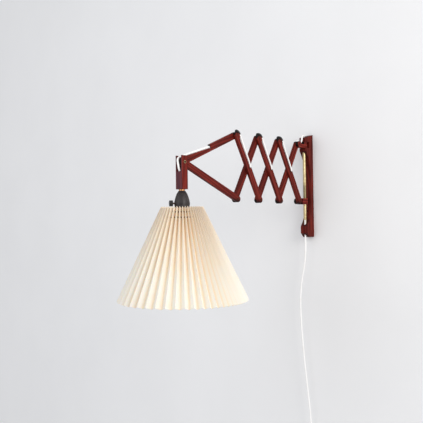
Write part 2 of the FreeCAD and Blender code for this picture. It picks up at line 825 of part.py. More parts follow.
def build():
    os.makedirs("parts", exist_ok=True)
    half_block = block_width / 2
    export("wall_bracket", [wall_bracket()])
    export("rod_tube", [rod_tube()])
    export("bracket_cord", [bracket_cord()])
    export("hanging_cord", hanging_cord())
    export("cord_coil", [cord_coil()])
    export("coil_tie", [coil_tie()])
    export("plug_body", [plug_body()])
    export("plug_pins", plug_pins())
    export("top_block", [carriage(top_pivot_z, layer_in, half_block, slide_gap, True)])
    export("top_block_pin", [hollow_pin(-groove_floor_x + cord_gap, half_block, last_pivot_y,
                                        top_pivot_z, False, True)])
    export("slider_block", [carriage(low_pivot_z, -half_block, -layer_in, slide_gap, False)])
    export("slider_pin", [hollow_pin(-half_block, layer_out + cord_gap, last_pivot_y,
                                     low_pivot_z, True, True)])
    for k in range(1, cross_count + 1):
        top_y = top_hinge_y(k - 1)
        export(f"falling_bar_{k}", [falling_bar(k)])
        export(f"rising_bar_{k}", [rising_bar(k)])
        export(f"falling_cord_{k}", [falling_cord(k)])
        export(f"rising_cord_{k}", [rising_cord(k)])
        export(f"falling_pin_{k}", [hollow_pin(-groove_floor_x + cord_gap, layer_out, top_y,
                                               top_pivot_z, False, True)])
        rising_pins = [hollow_pin(-layer_out, layer_out + cord_gap, y, z, True, True)
                       for y, z in ((top_y, low_pivot_z), (top_y + run, mid_z))]
        export(f"rising_pins_{k}", rising_pins)
    export("upper_arm", [upper_arm()])
    export("upper_arm_cord", [upper_arm_cord()])
    export("lower_arm", [lower_arm()])
    export("stem_rivet", stem_rivet())
    export("stem", [stem()])
    export("stem_cord", [stem_cord()])
    export("stem_nipple", [nipple()])
    export("stem_collar", [stem_collar()])
    export("holder_cap", [holder_cap()])
    export("holder_skirt", [holder_skirt()])
    export("socket_insert", [socket_insert()])
    export("socket_shell", [socket_shell()])
    export("centre_contact", [centre_contact()])
    export("shade_nut", [shade_nut()])
    export("shade_carrier", [shade_carrier()])
    export("pleated_shade", [pleated_shade()])
    export("switch_knob", [switch_knob()])
    export("switch_shaft", [switch_shaft()])
    print(f"head at y {head_y:.1f}, arm mid z {mid_z:.1f}, low pivot z {low_pivot_z:.1f}, "
          f"phi {math.degrees(phi):.2f}")


build()
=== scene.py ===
import json
import math
import bmesh
import bpy
from mathutils import Matrix, Vector


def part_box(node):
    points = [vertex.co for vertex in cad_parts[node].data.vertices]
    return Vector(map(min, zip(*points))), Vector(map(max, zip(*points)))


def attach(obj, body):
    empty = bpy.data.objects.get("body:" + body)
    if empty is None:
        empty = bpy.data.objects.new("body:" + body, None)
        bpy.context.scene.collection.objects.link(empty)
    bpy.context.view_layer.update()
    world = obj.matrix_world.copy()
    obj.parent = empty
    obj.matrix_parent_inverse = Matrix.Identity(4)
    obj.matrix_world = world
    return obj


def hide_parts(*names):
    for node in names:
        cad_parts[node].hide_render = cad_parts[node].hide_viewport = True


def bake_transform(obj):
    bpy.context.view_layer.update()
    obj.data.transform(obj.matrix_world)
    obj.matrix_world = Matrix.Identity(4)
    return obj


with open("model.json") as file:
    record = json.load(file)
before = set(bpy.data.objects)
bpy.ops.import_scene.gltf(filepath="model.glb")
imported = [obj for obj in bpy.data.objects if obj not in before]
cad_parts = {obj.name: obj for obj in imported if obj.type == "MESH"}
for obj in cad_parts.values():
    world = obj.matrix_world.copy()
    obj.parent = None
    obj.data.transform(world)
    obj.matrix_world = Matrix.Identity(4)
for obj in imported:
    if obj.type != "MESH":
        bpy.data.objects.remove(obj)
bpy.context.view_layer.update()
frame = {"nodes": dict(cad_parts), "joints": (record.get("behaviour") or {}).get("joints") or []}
scene = bpy.context.scene
nodes = frame["nodes"]
pivot = {joint["name"]: Vector(joint["pos_m"]) for joint in frame["joints"]}
head = pivot["head_tilt"]
topPivots = [pivot["top_0"], pivot["top_1"], pivot["top_2"], pivot["arm_fold"]]
lowPivots = [Vector((0, p.y, pivot["foot_3"].z)) for p in topPivots]
mm = 0.001


def angleOf(start, end):
    return math.atan2(end.z - start.z, end.y - start.y)


fallingAngle = angleOf(topPivots[0], pivot["cross_1"])
risingAngle = angleOf(lowPivots[0], pivot["cross_1"])
upperAngle = angleOf(head, topPivots[0])
lowerAngle = angleOf(head, lowPivots[0])


# Camera, with its angles in degrees

camera = {
    "place": (1.1689, -1.6179, -0.1309),
    "turn": 45.25,
    "pitch": 1.48,
    "roll": -0.67,
    "focalPixels": 598.0,
    "picturePixels": 423.0,
    "sensor": 36.0,
}


def makeCamera(look):
    turn, pitch, roll = (math.radians(look[angle]) for angle in ("turn", "pitch", "roll"))
    ahead = Vector((-math.sin(turn) * math.cos(pitch), math.cos(turn) * math.cos(pitch),
                    math.sin(pitch)))
    side = Vector((math.cos(turn), math.sin(turn), 0))
    up = side.cross(ahead)
    right = math.cos(roll) * side + math.sin(roll) * up
    top = -math.sin(roll) * side + math.cos(roll) * up
    data = bpy.data.cameras.new("camera")
    data.sensor_width = look["sensor"]
    data.lens = look["focalPixels"] * look["sensor"] / look["picturePixels"]
    cam = bpy.data.objects.new("camera", data)
    scene.collection.objects.link(cam)
    basis = Matrix((right, top, -ahead)).transposed().to_4x4()
    cam.matrix_world = Matrix.Translation(look["place"]) @ basis
    scene.camera = cam


makeCamera(camera)


# Light

light = {
    "world": (0.96, 0.97, 1.0),
    "worldStrength": 0.69,
    "key": {"place": (2.6, -0.95, 0.8), "aim": (0.0, -0.45, -0.1), "size": 1.4, "power": 37.0,
            "colour": (1.0, 0.97, 0.93)},
    "fill": {"place": (-0.35, -2.9, 0.6), "aim": (0.0, -0.5, 0.0), "size": 1.6, "power": 12.0,
             "colour": (0.9, 0.94, 1.0)},
}


def makeArea(name, look):
    data = bpy.data.lights.new(name, "AREA")
    data.energy = look["power"]
    data.size = look["size"]
    data.color = look["colour"]
    lamp = bpy.data.objects.new(name, data)
    scene.collection.objects.link(lamp)
    away = Vector(look["aim"]) - Vector(look["place"])
    lamp.matrix_world = (Matrix.Translation(look["place"])
                         @ away.to_track_quat("-Z", "Y").to_matrix().to_4x4())


world = bpy.data.worlds.new("surround")
world.use_nodes = True
surround = world.node_tree.nodes["Background"].inputs
surround["Color"].default_value = (*light["world"], 1)
surround["Strength"].default_value = light["worldStrength"]
scene.world = world
scene.view_settings.view_transform = "Standard"
makeArea("key", light["key"])
makeArea("fill", light["fill"])


# Material helpers. In the looks below a noise is its scale, detail and roughness, a range is
# where it starts and ends and then what it gives there, and a bump is its strength and depth.

def newMaterial(name):
    material = bpy.data.materials.new(name)
    material.use_nodes = True
    tree = material.node_tree
    return material, tree, tree.nodes["Principled BSDF"]


def addNode(tree, kind, inputs=None, **settings):
    node = tree.nodes.new(kind)
    for key, value in settings.items():
        setattr(node, key, value)
    for key, value in (inputs or {}).items():
        socket = node.inputs[key]
        if isinstance(value, bpy.types.NodeSocket):
            tree.links.new(value, socket)
        else:
            socket.default_value = value
    return node


def addCoords(tree, kind="Object"):
    return addNode(tree, "ShaderNodeTexCoord").outputs[kind]


def addMaths(tree, operation, a, b=0.0):
    return addNode(tree, "ShaderNodeMath", {0: a, 1: b}, operation=operation).outputs[0]


def addSum(tree, a, b, weights):
    return addMaths(tree, "ADD", addMaths(tree, "MULTIPLY", a, weights[0]),
                    addMaths(tree, "MULTIPLY", b, weights[1]))


def addMix(tree, share, a, b):
    # Two colours, each a socket or red, green and blue; they go into inputs 6 and 7
    colours = [c if isinstance(c, bpy.types.NodeSocket) else (*c, 1) for c in (a, b)]
    return addNode(tree, "ShaderNodeMix", {0: share, 6: colours[0], 7: colours[1]},
                   data_type="RGBA").outputs[2]


def addRange(tree, value, low, high, outLow=0.0, outHigh=1.0):
    return addNode(tree, "ShaderNodeMapRange",
                   {"Value": value, "From Min": low, "From Max": high, "To Min": outLow,
                    "To Max": outHigh}, interpolation_type="SMOOTHSTEP").outputs["Result"]


def addNoise(tree, vector, scale, detail=3.0, roughness=0.55):
    return addNode(tree, "ShaderNodeTexNoise",
                   {"Vector": vector, "Scale": scale, "Detail": detail, "Roughness": roughness}
                   ).outputs["Fac"]


def addStretch(tree, vector, scale):
    return addNode(tree, "ShaderNodeMapping", {"Vector": vector, "Scale": scale}
                   ).outputs["Vector"]


def addTurn(tree, vector, angle):
    return addNode(tree, "ShaderNodeVectorRotate", {"Vector": vector, "Angle": angle},
                   rotation_type="X_AXIS").outputs["Vector"]


def addPart(tree, vector, letter):
    return addNode(tree, "ShaderNodeSeparateXYZ", {"Vector": vector}).outputs[letter]


def addBump(tree, bsdf, height, strength, depth):
    bump = addNode(tree, "ShaderNodeBump",
                   {"Height": height, "Strength": strength, "Distance": depth})
    tree.links.new(bump.outputs["Normal"], bsdf.inputs["Normal"])


def paint(tree, bsdf, colour, rough):
    tree.links.new(colour, bsdf.inputs["Base Color"])
    if isinstance(rough, bpy.types.NodeSocket):
        tree.links.new(rough, bsdf.inputs["Roughness"])
    else:
        bsdf.inputs["Roughness"].default_value = rough


def dress(material, *names):
    for name in names:
        piece = nodes[name]
        piece.data.materials.clear()
        piece.data.materials.append(material)


# Mesh helpers

def addPiece(name, mesh, material=None):
    piece = bpy.data.objects.new(name, mesh)
    scene.collection.objects.link(piece)
    if material:
        mesh.materials.clear()
        mesh.materials.append(material)
    return piece


def plainMesh(name, working):
    data = bpy.data.meshes.new(name)
    working.to_mesh(data)
    working.free()
    return data


def settle(piece, name, material):
    # The piece's final shape as a plain mesh, in a piece of its own
    bpy.context.view_layer.update()
    final = piece.evaluated_get(bpy.context.evaluated_depsgraph_get())
    mesh = bpy.data.meshes.new_from_object(final)
    bpy.data.objects.remove(piece)
    return addPiece(name, mesh, material)


# Wood

woodLook = {
    "light": (0.2, 0.02, 0.012),
    "dark": (0.088, 0.0085, 0.006),
    "stretch": (1.0, 0.07, 1.0),
    "wobble": (34.0, 2.0, 0.5),
    "rings": {"Scale": 46.0, "Distortion": 7.5, "Detail": 3.0, "Detail Scale": 1.4},
    "figureWeights": (0.62, 0.34),
    "figureRange": (0.28, 0.7),
    "pore": (0.03, 0.005, 0.004),
    "poreStretch": (1.0, 0.022, 1.0),
    "poreNoise": (420.0, 2.0, 0.6),
    "poreRange": (0.56, 0.7),
    "poreShare": 0.55,
    "patch": (0.0484, 0.004675, 0.0033),
    "patchNoise": (11.0, 1.0),
    "patchRange": (0.35, 0.7, 0.0, 0.35),
    "end": (0.008, 0.0035, 0.003),
    "endRange": (0.22, 0.55),
    # Painted shade at the ends of the hinged bars
    "topHingeShade": (topPivots[0].z + 2.5 * mm, topPivots[0].z + 6.5 * mm, 0.0, 0.95),
    "footHingeShade": (lowPivots[0].z + 4.0 * mm, lowPivots[0].z - 7.0 * mm, 0.0, 0.8),
    # Painted reflection: a bluish grey sheen on faces turned away from the wall
    "paintedSheen": (0.075, 0.045, 0.062),
    "paintedSheenRange": (0.6, 0.95),
    "roughRange": (0.2, 0.8, 0.56, 0.4),
    "roughPores": 0.14,
    "specular": 0.1,
    "heightWeights": (0.4, -1.0),
    "bump": (0.25, 0.4 * mm),
}
upright = math.pi / 2
# Each kind's shade is painted light: its wood is made brighter or darker as the light falls on
# that piece
woodPieces = {
    "wood_falling": {"cut": {"angle": fallingAngle, "hinged": True},
                     "pieces": [f"falling_bar_{k}" for k in (1, 2, 3)]},
    "wood_rising": {"cut": {"angle": risingAngle, "hinged": True},
                    "pieces": [f"rising_bar_{k}" for k in (1, 2, 3)]},
    "wood_upper": {"cut": {"angle": upperAngle, "shade": 0.95, "hinged": True},
                   "pieces": ["upper_arm"]},
    "wood_lower": {"cut": {"angle": lowerAngle, "shade": 1.05, "hinged": True},
                   "pieces": ["lower_arm"]},
    "wood_bracket": {"cut": {"angle": upright, "shade": 0.95, "endDark": 0.5},
                     "pieces": ["wall_bracket"]},
    "wood_stem": {"cut": {"angle": upright, "shade": 1.15, "endDark": 0.6, "paintedSheen": 0.55},
                  "pieces": ["stem"]},
    "wood_block": {"cut": {"angle": 0.0, "shade": 1.25}, "pieces": ["top_block", "slider_block"]},
}


def makeWood(name, look, angle, shade=1.0, endDark=1.0, paintedSheen=0.0, hinged=False):
    # Grain runs along the angle in the YZ plane; shade is painted light that makes the whole
    # piece brighter or darker, and a painted sheen greys the faces turned away from the wall
    material, tree, bsdf = newMaterial(name)
    coords, normal = addCoords(tree), addCoords(tree, "Normal")
    turned = addTurn(tree, coords, -angle)
    stretched = addStretch(tree, turned, look["stretch"])
    wobble = addNoise(tree, stretched, *look["wobble"])
    rings = addNode(tree, "ShaderNodeTexWave", {"Vector": stretched, **look["rings"]},
                    wave_type="BANDS", bands_direction="DIAGONAL").outputs["Fac"]
    figure = addSum(tree, wobble, rings, look["figureWeights"])
    fine = addStretch(tree, turned, look["poreStretch"])
    pores = addRange(tree, addNoise(tree, fine, *look["poreNoise"]), *look["poreRange"])
    patch = addNoise(tree, turned, *look["patchNoise"])
    along = addMaths(tree, "ABSOLUTE", addPart(tree, addTurn(tree, normal, -angle), "Y"))
    end = addMaths(tree, "MULTIPLY", addRange(tree, along, *look["endRange"]), endDark)
    body = addMix(tree, addRange(tree, figure, *look["figureRange"]), look["dark"],
                  look["light"])
    body = addMix(tree, addMaths(tree, "MULTIPLY", pores, look["poreShare"]), body,
                  look["pore"])
    body = addMix(tree, addRange(tree, patch, *look["patchRange"]), body, look["patch"])
    body = addMix(tree, end, body, look["end"])
    if hinged:
        # Painted shade: the ends above the top hinges and below the foot hinges are darkened
        # where shade falls between the bars
        level = addPart(tree, coords, "Z")
        for dark in ("topHingeShade", "footHingeShade"):
            body = addMix(tree, addRange(tree, level, *look[dark]), body, look["end"])
    # Painted reflection on the faces turned away from the wall
    if paintedSheen:
        facing = addMaths(tree, "MULTIPLY", addPart(tree, normal, "Y"), -1.0)
        share = addRange(tree, facing, *look["paintedSheenRange"], 0.0, paintedSheen)
        body = addMix(tree, share, body, look["paintedSheen"])
    # Painted light: shade brightens or darkens the whole piece
    shaded = addNode(tree, "ShaderNodeHueSaturation", {"Color": body, "Value": shade})
    rough = addSum(tree, addRange(tree, figure, *look["roughRange"]), pores,
                   (1.0, look["roughPores"]))
    paint(tree, bsdf, shaded.outputs["Color"], rough)
    bsdf.inputs["Specular IOR Level"].default_value = look["specular"]
    addBump(tree, bsdf, addSum(tree, figure, pores, look["heightWeights"]), *look["bump"])
    return material


for name, wood in woodPieces.items():
    dress(makeWood(name, woodLook, **wood["cut"]), *wood["pieces"])
print("wood done")


# Metal

metalGrain = {
    "cloud": (90.0, 5.0, 0.65),
    "drawn": (1.0, 1.0, 0.03),
    "streak": (900.0, 2.0),
    "weights": (0.75, 0.25),
    "dullSpread": 0.28,
    "dullMost": 0.8,
    "roughRange": (0.3, 0.7),
    "bump": (0.08, 0.2 * mm),
    "shadow": (0.012, 0.008, 0.006),
    "shadowEdge": (0.98, 1.15),
    "bandEdges": (8 * mm, 6 * mm),
    "bandMost": 0.75,
}
metalLook = {
    "tube": {"bright": (0.66, 0.54, 0.3), "dull": (0.3, 0.22, 0.1), "roughness": (0.26, 0.46),
             "dullShare": 0.42, "band": (6.0 * mm, -40.0 * mm), "darkBand": (0.16, 0.125, 0.065)},
    "pin": {"bright": (0.11, 0.045, 0.03), "dull": (0.04, 0.018, 0.012),
            "roughness": (0.5, 0.65), "dullShare": 0.5},
    "rivet": {"bright": (0.55, 0.42, 0.24), "dull": (0.22, 0.16, 0.08), "roughness": (0.3, 0.5),
              "dullShare": 0.45, "bore": head, "boreRadius": 2.8 * mm},
    "collar": {"bright": (0.72, 0.36, 0.17), "dull": (0.4, 0.17, 0.08), "roughness": (0.25, 0.45),
               "dullShare": 0.5},
    "steel": {"bright": (0.62, 0.61, 0.57), "dull": (0.35, 0.34, 0.31), "roughness": (0.3, 0.5),
              "dullShare": 0.4},
    "blade": {"bright": (0.85, 0.72, 0.46), "dull": (0.5, 0.39, 0.2), "roughness": (0.2, 0.4),
              "dullShare": 0.3},
}


def boreShade(tree, coords, look, grain):
    # The open middle of the rivet lies in shadow
    bore = look["bore"]
    moved = addNode(tree, "ShaderNodeMapping",
                    {"Vector": coords, "Location": (0, -bore.y, -bore.z)}).outputs["Vector"]
    flat = addNode(tree, "ShaderNodeVectorMath", {0: moved, 1: (0, 1, 1)},
                   operation="MULTIPLY").outputs["Vector"]
    reach = addNode(tree, "ShaderNodeVectorMath", {0: flat}, operation="LENGTH").outputs["Value"]
    inner, outer = (look["boreRadius"] * edge for edge in grain["shadowEdge"])
    return addRange(tree, reach, inner, outer, 1.0, 0.0)


def bandShade(tree, coords, look, grain):
    # A darker band on the tube above the slider
    level = addPart(tree, coords, "Z")
    top, foot = look["band"]
    topEdge, footEdge = grain["bandEdges"]
    return addMaths(tree, "MULTIPLY",
                    addRange(tree, level, top, top - topEdge, 0.0, grain["bandMost"]),
                    addRange(tree, level, foot - footEdge, foot))


def makeMetal(name, look, grain):
    material, tree, bsdf = newMaterial(name)
    coords = addCoords(tree)
    cloud = addNoise(tree, coords, *grain["cloud"])
    streak = addNoise(tree, addStretch(tree, coords, grain["drawn"]), *grain["streak"])
    tarnish = addSum(tree, cloud, streak, grain["weights"])
    dull = addRange(tree, tarnish, look["dullShare"], look["dullShare"] + grain["dullSpread"])
    dull = addMaths(tree, "MULTIPLY", dull, grain["dullMost"])
    colour = addMix(tree, dull, look["bright"], look["dull"])
    if "bore" in look:
        colour = addMix(tree, boreShade(tree, coords, look, grain), colour, grain["shadow"])
    if "band" in look:
        colour = addMix(tree, bandShade(tree, coords, look, grain), colour, look["darkBand"])
    paint(tree, bsdf, colour, addRange(tree, tarnish, *grain["roughRange"], *look["roughness"]))
    bsdf.inputs["Metallic"].default_value = 1.0
    addBump(tree, bsdf, streak, *grain["bump"])
    return material


dress(makeMetal("brass_tube", metalLook["tube"], metalGrain), "rod_tube", "stem_nipple",
      "socket_shell", "centre_contact")
dress(makeMetal("brass_pin", metalLook["pin"], metalGrain), "top_block_pin", "slider_pin",
      "switch_shaft", *[f"falling_pin_{k}" for k in (1, 2, 3)],
      *[f"rising_pins_{k}" for k in (1, 2, 3)])
dress(makeMetal("brass_rivet", metalLook["rivet"], metalGrain), "stem_rivet")
dress(makeMetal("brass_collar", metalLook["collar"], metalGrain), "stem_collar")
dress(makeMetal("steel_wire", metalLook["steel"], metalGrain), "shade_carrier")
dress(makeMetal("plug_blade", metalLook["blade"], metalGrain), "plug_pins")
print("metal done")


# Moulded parts, the ceramic insert and the cord's sheath

mouldGrain = {
    "fine": (4.0, 0.6),
    "broad": (38.0, 2.0, 0.5),
    "weights": (0.5, 0.5),
    "speckRange": (0.42, 0.68),
    "roughRange": (0.3, 0.7),
    "smoother": 0.07,
    "rougher": 0.1,
    "depth": 0.3 * mm,
}
mouldLook = {
    "holder": {"colour": (0.017, 0.0115, 0.011), "speck": (0.05, 0.037, 0.036),
               "roughness": 0.44, "grain": 560.0, "bump": 0.2},
    "knob": {"colour": (0.006, 0.005, 0.005), "speck": (0.02, 0.018, 0.017), "roughness": 0.38,
             "grain": 700.0, "bump": 0.1},
    "cord": {"colour": (0.985, 0.98, 0.965), "speck": (0.92, 0.91, 0.88), "roughness": 0.4,
             "grain": 160.0, "bump": 0.06, "sheen": 0.25},
    "sleeve": {"colour": (0.008, 0.0065, 0.006), "speck": (0.026, 0.022, 0.02),
               "roughness": 0.5, "grain": 420.0, "bump": 0.2},
    "plug": {"colour": (0.86, 0.85, 0.82), "speck": (0.78, 0.765, 0.73), "roughness": 0.45,
             "grain": 500.0, "bump": 0.12},
    "ceramic": {"colour": (0.8, 0.78, 0.72), "speck": (0.68, 0.65, 0.58), "roughness": 0.55,
                "grain": 300.0, "bump": 0.1},
}


def makeMoulded(name, look, grain):
    material, tree, bsdf = newMaterial(name)
    coords = addCoords(tree)
    fine = addNoise(tree, coords, look["grain"], *grain["fine"])
    broad = addNoise(tree, coords, *grain["broad"])
    mixed = addSum(tree, fine, broad, grain["weights"])
    colour = addMix(tree, addRange(tree, mixed, *grain["speckRange"]), look["colour"],
                    look["speck"])
    rough = addRange(tree, mixed, *grain["roughRange"], look["roughness"] - grain["smoother"],
                     look["roughness"] + grain["rougher"])
    paint(tree, bsdf, colour, rough)
    bsdf.inputs["Sheen Weight"].default_value = look.get("sheen", 0.0)
    addBump(tree, bsdf, fine, look["bump"], grain["depth"])
    return material


holderMaterial = makeMoulded("holder_moulding", mouldLook["holder"], mouldGrain)
cordMaterial = makeMoulded("cord_sheath", mouldLook["cord"], mouldGrain)
sleeveMaterial = makeMoulded("hinge_sleeve", mouldLook["sleeve"], mouldGrain)
plugMaterial = makeMoulded("plug_moulding", mouldLook["plug"], mouldGrain)
dress(holderMaterial, "holder_cap", "holder_skirt", "shade_nut")
dress(makeMoulded("knob_moulding", mouldLook["knob"], mouldGrain), "switch_knob")
dress(makeMoulded("ceramic_insert", mouldLook["ceramic"], mouldGrain), "socket_insert")
dress(plugMaterial, "plug_body", "coil_tie")
print("mouldings done")


# Cord held by the lamp, with its bends over the hinges

cordLook = {
    "diameter": 5.5 * mm,
    "sleeveRadius": 3.3 * mm,
    "nearBarX": 6.0 * mm,  # the cord's middle in the hollow of a near bar
    "grooveX": -6.2 * mm,  # and in the groove of a far one
    "barHalfWidth": 9.5 * mm,
    "bevelSteps": 5,
    "heldSteps": 8,
    "sleeveSteps": 12,
    "freeSteps": 6,
}
cordRadius = cordLook["diameter"] / 2
barLength = (topPivots[1] - lowPivots[0]).length
armLength = (topPivots[0] - head).length
tubeLow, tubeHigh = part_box("rod_tube")
tubeAxis = Vector((0, (tubeLow.y + tubeHigh.y) / 2, 0))

# Points given in mm. On a bar they go along it, across it and then sideways, and
# elsewhere they are x, y and z from a pivot or from the tube's axis.
heldRoute = {
    "hollow": [(105.8, -3.2), (102.5, 0.3), (92, 1.0), (74, 1.5), (52, 1.6), (30, 1.8),
               (10, 2.9)],
    "fromEnd": [2, 30],
    "toMiddle": [150, 110.1],
    "overHinge": [(6.0, 9.6, 8.6), (4.4, 4.4, 12.6), (0.4, 1.4, 13.6), (-3.8, 2.0, 13.6),
                  (-6.4, 4.6, 11.4), (-6.2, 3.9, 7.2)],
    "overOuterHinge": [(5.6, 9.6, 8.6), (3.6, 4.2, 13.0), (-0.6, 3.6, 14.0), (-4.4, 7.0, 12.6),
                       (-6.2, 10.4, 7.6), (-6.2, 6.4, 2.8)],
    "intoCarriage": [(-6.2, 4.4, 8.3), (-6.1, 7.2, 11.4), (-4.6, 10.4, 9.8), (-1.6, 13.2, 6.4),
                     (2.0, 15.4, 6.6), (3.8, 17.0, 10.8), (4.2, 18.8, 16.5)],
    "outOfTube": [(0, 0, 120), (0, 0, 150), (0, 0, 156.5), (0.8, -2.2, 161.6),
                  (2.8, -7.6, 162.6), (4.0, -14.0, 160.2), (4.4, -17.4, 155.0),
                  (4.2, -17.2, 148.8)],
    "inTube": [(0, 0, 120), (0, 0, 60), (0, 0, 0), (0, 0, -60), (0, 0, -110), (0, 0, -160.6)],
    "onArm": [(22, 12.4, -4.55), (34, 11.6, -4.55), (62, 8.8, -4.55), (90, 6.2, -4.55),
              (110, 4.2, -4.55), (118, 3.0, -4.9), (130, 0.4, -6.2), (163, 0, -6.2),
              (198, 0, -6.2)],
    "outOfStem": [(0, 0, -87.5), (0, 0, -52), (0, -0.4, -36), (0.5, -5.4, -26.5),
                  (1.6, -11.4, -18.5), (2.0, -13.6, -10), (1.0, -14.2, -2.5),
                  (-1.8, -12.8, 4.0), (-4.0, -9.8, 9.2), (-4.6, -4.6, 13.2)],
    "stemToArm": [(8, 13.0, -4.55), (22, 12.4, -4.55)],
}


def nearby(start, offsets):
    return [start + Vector(offset) * mm for offset in offsets]


def onBar(start, angle, along, across, x):
    return start + Vector((x, along * math.cos(angle) - across * math.sin(angle),
                           along * math.sin(angle) + across * math.cos(angle)))


def hollowPoints(top):
    # Up a falling bar's hollow, from the crossing to its top hinge, standing a little proud
    return [onBar(top, fallingAngle, along * mm, cordLook["barHalfWidth"] + proud * mm,
                  cordLook["nearBarX"]) for along, proud in heldRoute["hollow"]]


def topGroovePoints(low, angle, length):
    # Down the groove in the back of a bar, from the bar's top end
    return [onBar(low, angle, length - gap * mm, 0, cordLook["grooveX"])
            for gap in heldRoute["fromEnd"]]


def risingGroovePoints(low):
    # The same, and on to the middle of a rising bar
    return topGroovePoints(low, risingAngle, barLength) + [
        onBar(low, risingAngle, along * mm, 0, cordLook["grooveX"])
        for along in heldRoute["toMiddle"]]


def upperArmPoints(points):
    return [onBar(head, upperAngle, along * mm, across * mm, x * mm)
            for along, across, x in points]


def makeCurve(name, points, radius, material, steps):
    # One smooth line with the points as its control points, given the cord's thickness
    data = bpy.data.curves.new(name, "CURVE")
    data.dimensions = "3D"
    spline = data.splines.new("NURBS")
    spline.points.add(len(points) - 1)
    for point, place in zip(spline.points, points):
        point.co = (*place, 1)
    spline.order_u = 3
    spline.use_endpoint_u = True
    spline.resolution_u = steps
    data.bevel_depth = radius
    data.bevel_resolution = cordLook["bevelSteps"]
    data.use_fill_caps = True
    data.materials.append(material)
    return addPiece(name, data)


def makeTube(name, points, radius, material, steps):
    # The same as a mesh, for the cord that the lamp holds and its sleeves
    line = makeCurve(name + "_line", points, radius, material, steps)
    piece = settle(line, name, material)
    for face in piece.data.polygons:
        face.use_smooth = True
    return piece


def makeHeldCord(name, points):
    return makeTube(name, points, cordRadius, cordMaterial, cordLook["heldSteps"])


def makeSleeve(name, before, bend):
    # The sleeve's line is the bend of the cord's own line, from midpoint to midpoint
    points = [before.lerp(bend[0], 0.5)] + bend[:-1] + [bend[-2].lerp(bend[-1], 0.5)]
    return makeTube(name, points, cordLook["sleeveRadius"], sleeveMaterial,
                    cordLook["sleeveSteps"])


def cordOverHinge(name, sleeveName, hinge, bend, groove, replaced):
    # Up a falling bar, over its top hinge in a dark sleeve and down the bar behind it
    rise = hollowPoints(hinge)
    piece = makeHeldCord(name, rise + bend + groove)
    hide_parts(*replaced)
    sleeve = makeSleeve(sleeveName, rise[-1], bend)
    for bent in (piece, sleeve):
        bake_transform(bent)


for k in (1, 2):
    cordOverHinge(f"cord_over_hinge_{k}", f"hinge_sleeve_{k}", topPivots[k],
                  nearby(topPivots[k], heldRoute["overHinge"]),
                  risingGroovePoints(lowPivots[k - 1]),
                  replaced=(f"falling_cord_{k + 1}", f"rising_cord_{k}"))
cordOverHinge("cord_over_outer_hinge", "outer_hinge_sleeve", topPivots[0],
              nearby(topPivots[0], heldRoute["overOuterHinge"]),
              topGroovePoints(head, upperAngle, armLength),
              replaced=("falling_cord_1",))

last = topPivots[3]
groove = risingGroovePoints(lowPivots[2])[1:]
piece = makeHeldCord("cord_into_carriage",
                     groove[::-1] + nearby(last, heldRoute["intoCarriage"]))
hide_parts("rising_cord_3")
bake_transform(piece)

piece = makeHeldCord("cord_out_of_tube", nearby(tubeAxis, heldRoute["outOfTube"]))
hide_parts("bracket_cord")
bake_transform(piece)

piece = makeHeldCord("cord_in_tube", nearby(tubeAxis, heldRoute["inTube"]))
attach(piece, "bracket")

piece = makeHeldCord("cord_on_arm", upperArmPoints(heldRoute["onArm"]))
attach(piece, "upper_arm")
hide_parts("upper_arm_cord")

piece = makeHeldCord("cord_out_of_stem",
                     nearby(head, heldRoute["outOfStem"])
                     + upperArmPoints(heldRoute["stemToArm"]))
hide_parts("stem_cord")
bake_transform(piece)
print("held cord done")


# Free cord: down the wall into its coil, then the lead to the plug. Places are in mm, and
# a turn of the coil is its depth and radius.

freeCord = {
    "exit": (0.0, -30.0, -160.6),
    "length": 1.93,  # metres
    "drop": [
        (1.0, -30.2, -205.0),
        (-5.0, -30.0, -256.0),
        (-18.0, -29.2, -307.0),
        (-25.5, -28.3, -358.0),
        (-26.0, -27.4, -412.0),
        (-23.6, -26.6, -468.0),
        (-19.6, -25.8, -523.0),
        (-14.6, -25.0, -578.0),
        (-8.6, -24.3, -633.0),
        (-2.2, -23.6, -688.0),
        (3.6, -23.0, -741.0),
        (6.0, -22.4, -785.0),
        (11.0, -21.8, -825.0),
        (26.0, -22.6, -849.8),
    ],
    "coilCentre": (-4.0, -21.4, -872.0),
    "firstTurnAngle": 8.0,
    "pointsPerTurn": 16,
    "turns": [(-5.75, 33.0), (0.0, 33.0), (5.75, 33.0), (5.75, 27.2), (0.0, 27.2), (-5.75, 27.2)],
    "stepShare": 0.2,
    "wayOut": [(-14, -9.6, 28.4), (-30, -11.6, 32.6), (-48, -10.0, 38.0)],
    "lead": [(6.0, -25.0, -914.8), (-0.4, -21.6, -926.0), (-1.0, -21.4, -937.2)],
}


def coilPoint(look, degrees, depth, radius):
    angle = math.radians(degrees)
    return Vector(look["coilCentre"]) + Vector((radius * math.cos(angle), depth,
                                                radius * math.sin(angle)))


def coilPoints(look):
    # Each turn has its depth and radius, and eases into the next one's near its end
    turns = look["turns"]
    perTurn = look["pointsPerTurn"]
    points = []
    for step in range(len(turns) * perTurn):
        index, share = divmod(step / perTurn, 1)
        depth, radius = turns[int(index)]
        following = turns[min(int(index) + 1, len(turns) - 1)]
        ease = max(0.0, (share - 1 + look["stepShare"]) / look["stepShare"])
        ease = ease * ease * (3 - 2 * ease)
        points.append(coilPoint(look, look["firstTurnAngle"] - 360 * step / perTurn,
                                depth + ease * (following[0] - depth),
                                radius + ease * (following[1] - radius)))
    return points + [coilPoint(look, *place) for place in look["wayOut"]]


freeLine = [freeCord["exit"], *freeCord["drop"], *coilPoints(freeCord), *freeCord["lead"]]
freePiece = makeCurve("free_cord", [Vector(p) * mm for p in freeLine], cordRadius, cordMaterial,
                      cordLook["freeSteps"])

reliefLook = {
    "length": 22.0 * mm,
    "top": 3.6 * mm,
    "foot": 5.2 * mm,
    "seated": 1.5 * mm,
    "rings": 6,
    "ringDepth": 0.45 * mm,
    "rowsPerRing": 4,
    "sunkRows": (2, 3),
    "sides": 28,
}


